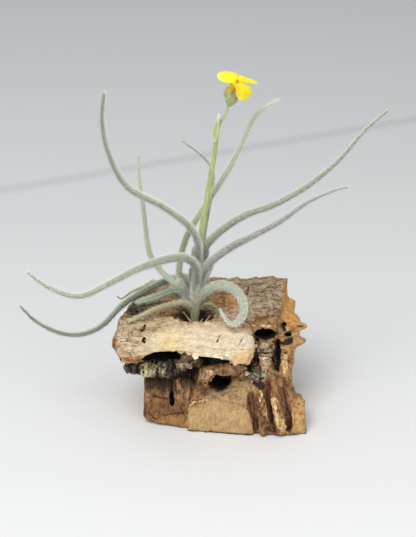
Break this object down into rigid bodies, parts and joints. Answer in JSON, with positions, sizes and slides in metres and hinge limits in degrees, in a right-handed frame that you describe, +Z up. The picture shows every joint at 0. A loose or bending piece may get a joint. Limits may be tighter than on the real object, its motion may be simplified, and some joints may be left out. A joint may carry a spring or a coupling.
{
  "type": "tillandsia crocata on cork bark",
  "caption": "Small silvery air plant with curling channelled leaves and a yellow flower on a tall stem, rooted in a hollow of a rough chunk of virgin cork bark.",
  "frame": {"origin": "middle of the flat spot that the cork bark rests on, at the surface that it stands on", "axes": "+Z up, +X to the right and +Y away from the viewer, seen from the side with the cream bark face"},
  "size_m": [0.1634, 0.0676, 0.1601],
  "materials": {
    "cork": "rough dry cork bark, cream and tan, grey-brown where weathered, dark in its cracks",
    "silver_leaf": "matt leaf under a dense coat of pale silver hairs, green where the coat is thin",
    "old_leaf": "dried leaf, olive to straw, matt",
    "green_stem": "fresh green stem, thinly haired, slightly waxy",
    "bract": "pale green sheath with a papery pale tip",
    "calyx": "grey-green felted sepals with pinkish brown tips",
    "petal": "soft thin petal, clear yellow, faintly veined, lets light through",
    "stamen": "matt golden yellow",
    "root": "thin dry wiry roots, straw to brown"
  },
  "bodies": {
    "root": {"cork_bark": "cork", "main_shoot": "silver_leaf", "side_shoot": "silver_leaf", "leaf_low_right": "silver_leaf", "leaf_arch_left": "silver_leaf", "leaf_high_left": "silver_leaf", "leaf_long_right": "silver_leaf", "leaf_thin_back": "silver_leaf", "leaf_upright_left": "silver_leaf", "leaf_rear_right": "silver_leaf", "leaf_low_left": "silver_leaf", "leaf_curl": "silver_leaf", "leaf_low_front": "silver_leaf", "leaf_channelled": "silver_leaf", "leaf_old": "old_leaf", "leaf_dry": "old_leaf", "flower_stem": "green_stem", "bract": "bract", "calyx": "calyx", "petal_left": "petal", "petal_right": "petal", "petal_front": "petal", "stamens": "stamen", "roots": "root"}
  },
  "joints": []
}
